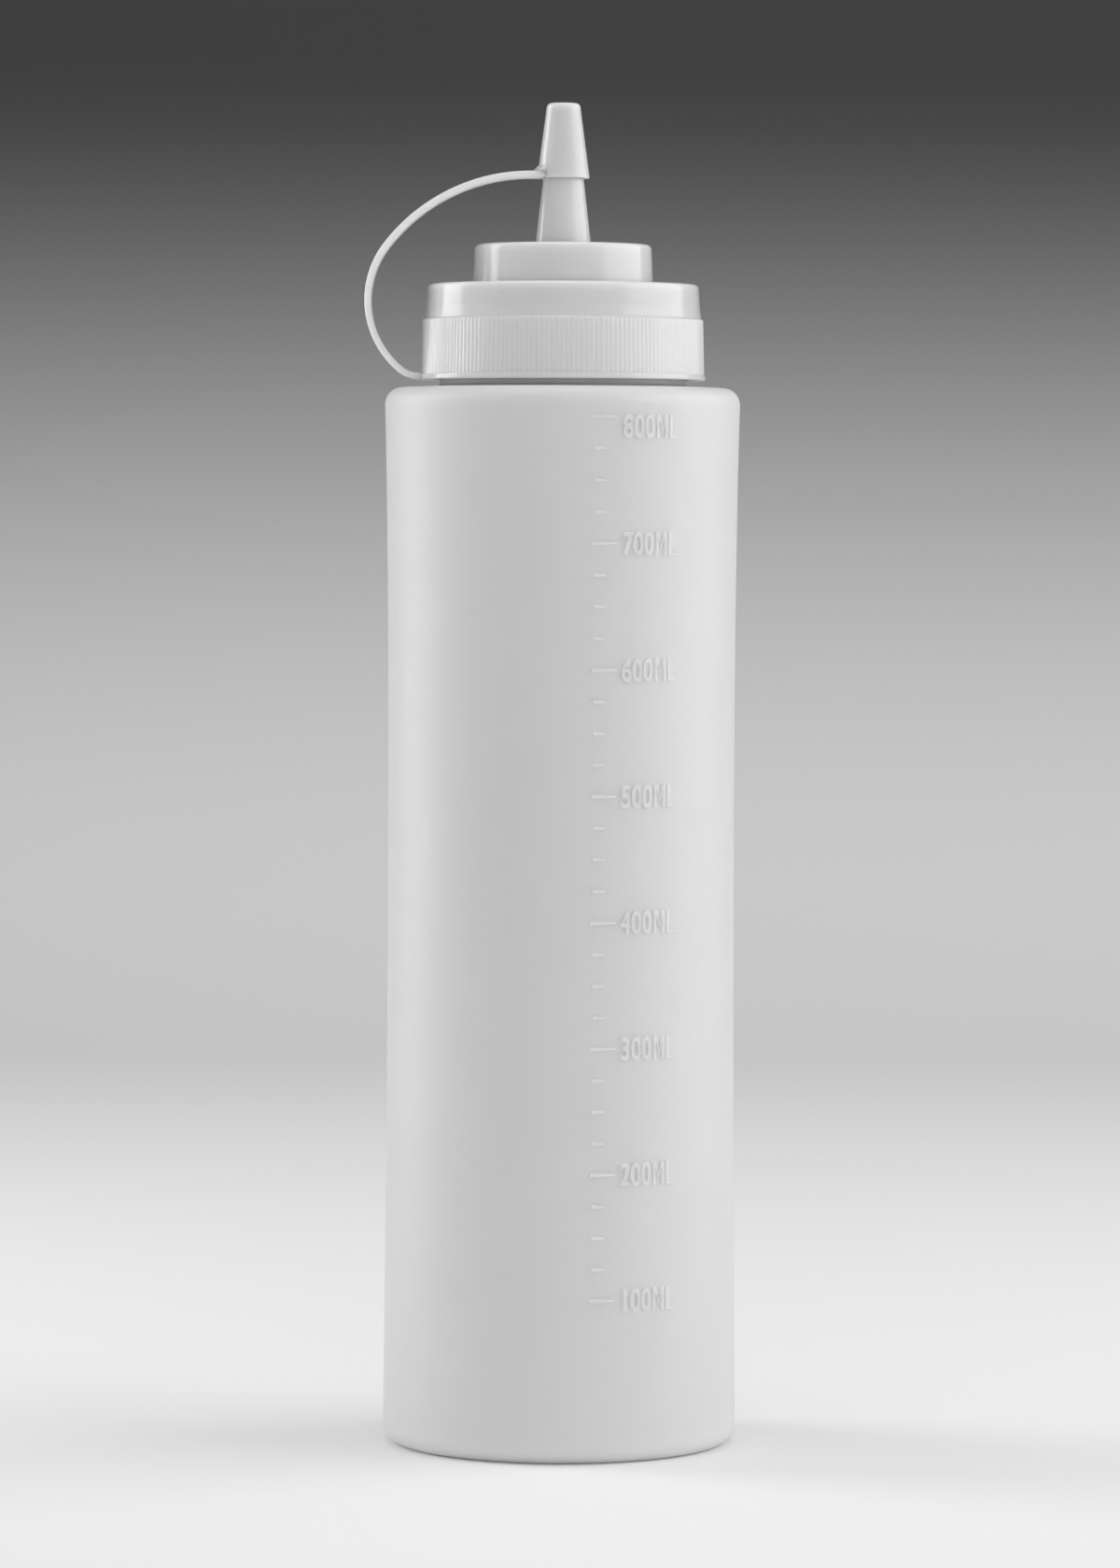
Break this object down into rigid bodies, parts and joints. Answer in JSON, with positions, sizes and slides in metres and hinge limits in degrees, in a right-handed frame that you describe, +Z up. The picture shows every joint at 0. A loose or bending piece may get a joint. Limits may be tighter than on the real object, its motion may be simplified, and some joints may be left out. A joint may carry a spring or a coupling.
{
  "type": "sauce squeeze bottle",
  "caption": "Tall waisted squeeze bottle for sauce with a screw lid, a tapered nozzle and a tip cap tethered by a flexible strap.",
  "frame": {"origin": "on the axis of the bottle, in the plane that its foot ring stands on", "axes": "+Z up along the axis; -X towards the strap; the front with the scale faces -Y and +X"},
  "size_m": [0.0783, 0.074, 0.2799],
  "materials": {
    "bottle_plastic": "milky translucent low density polyethylene, fine matt",
    "lid_plastic": "milky white low density polyethylene, soft gloss",
    "seal_rubber": "white silicone"
  },
  "bodies": {
    "bottle": {"bottle": "bottle_plastic"},
    "seal_ring": {"seal_ring": "seal_rubber"},
    "lid": {"lid": "lid_plastic", "strap_lower": "lid_plastic"},
    "tip_cap": {"strap_upper": "lid_plastic", "tip_cap": "lid_plastic"}
  },
  "joints": [
    {"name": "lid_rise", "type": "slide", "parent": "bottle", "child": "seal_ring", "axis": [0, 0, 1], "range_m": [0, 0.01905]},
    {"name": "lid_turn", "type": "hinge", "parent": "seal_ring", "child": "lid", "pos_m": [0, 0, 0.2408], "axis": [0, 0, 1], "range_deg": [0, 1620]},
    {"name": "cap_flip", "type": "hinge", "parent": "lid", "child": "tip_cap", "pos_m": [-0.02414, 0, 0.26155], "axis": [0, -1, 0], "range_deg": [0, 135]}
  ],
  "couplings": [
    {"joint": "lid_turn", "follows": "lid_rise", "rad_per_m": 1484.2}
  ]
}
